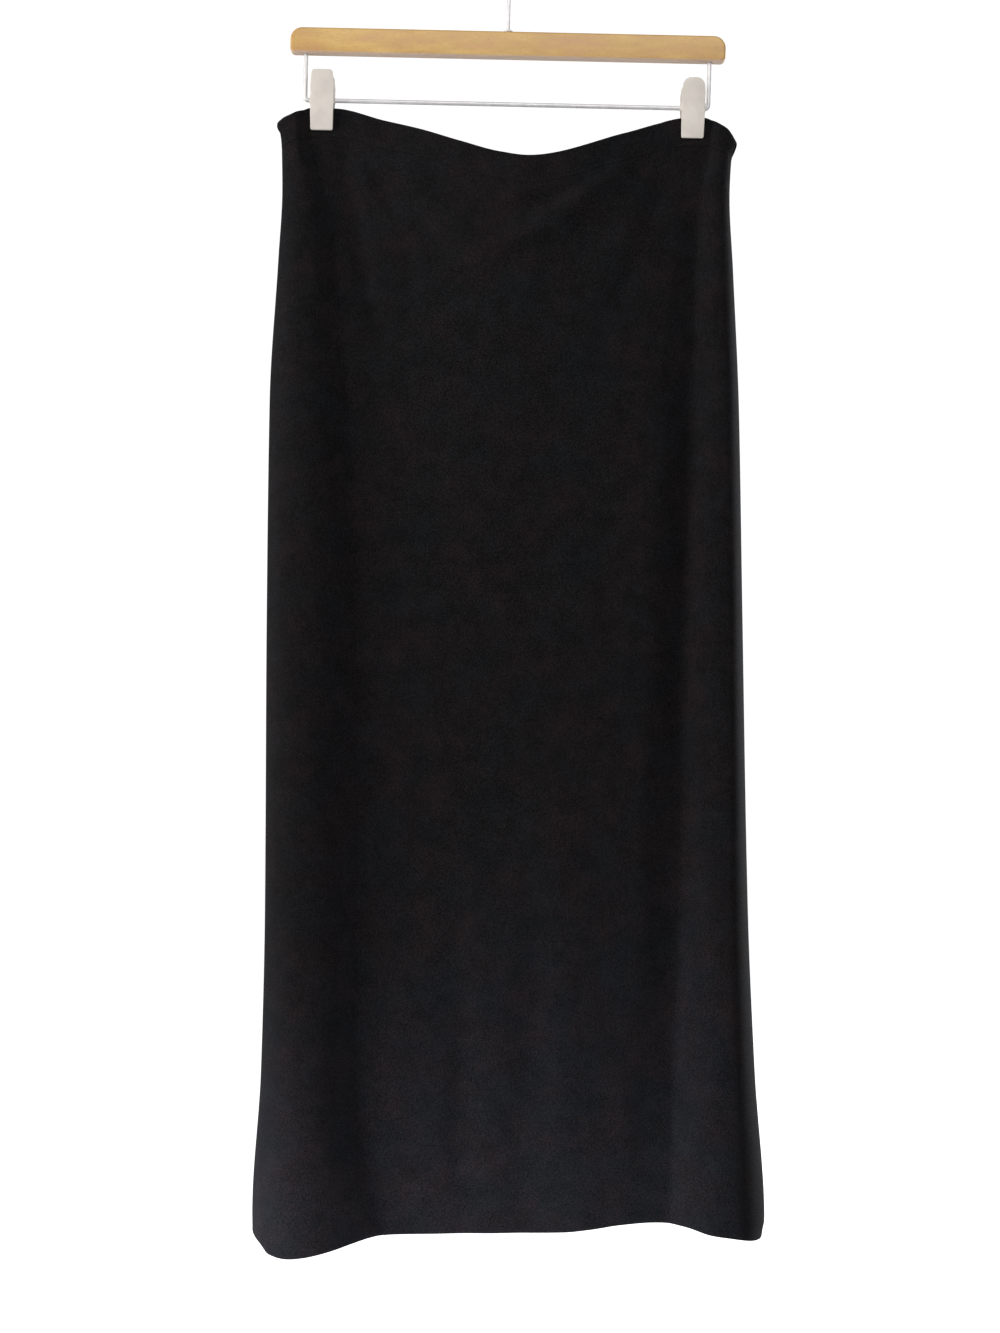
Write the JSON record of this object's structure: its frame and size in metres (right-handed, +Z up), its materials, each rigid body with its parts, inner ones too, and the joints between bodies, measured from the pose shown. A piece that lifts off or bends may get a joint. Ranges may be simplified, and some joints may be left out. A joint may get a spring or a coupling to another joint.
{
  "type": "maxi skirt on a clip hanger",
  "caption": "Long black stretch jersey column skirt with an elastic waistband, open at the waist and hem, hanging by two clips from a wooden bar hanger.",
  "frame": {"origin": "The top inside of the hanger's hook, where a wardrobe rail bears.", "axes": "+Z up, +X to the right as seen from the front, -Y out of the front of the skirt."},
  "size_m": [0.446, 0.096, 1.1449],
  "materials": {
    "jersey": "soft black knit jersey, slightly brushed",
    "waistband": "double black jersey over elastic",
    "wood": "light beech under clear satin varnish",
    "wire": "bright zinc-plated steel wire",
    "clip": "pale warm grey moulded plastic"
  },
  "bodies": {
    "root": {"skirt_front": "jersey", "skirt_back": "jersey", "waistband_front": "waistband", "waistband_back": "waistband", "hanger_bar": "wood", "hanger_hook": "wire", "hook_ferrule": "wire", "clip_rod": "wire", "clip_left_front_jaw": "clip", "clip_left_back_jaw": "clip", "clip_left_spring": "wire", "clip_right_front_jaw": "clip", "clip_right_back_jaw": "clip", "clip_right_spring": "wire"}
  },
  "joints": []
}
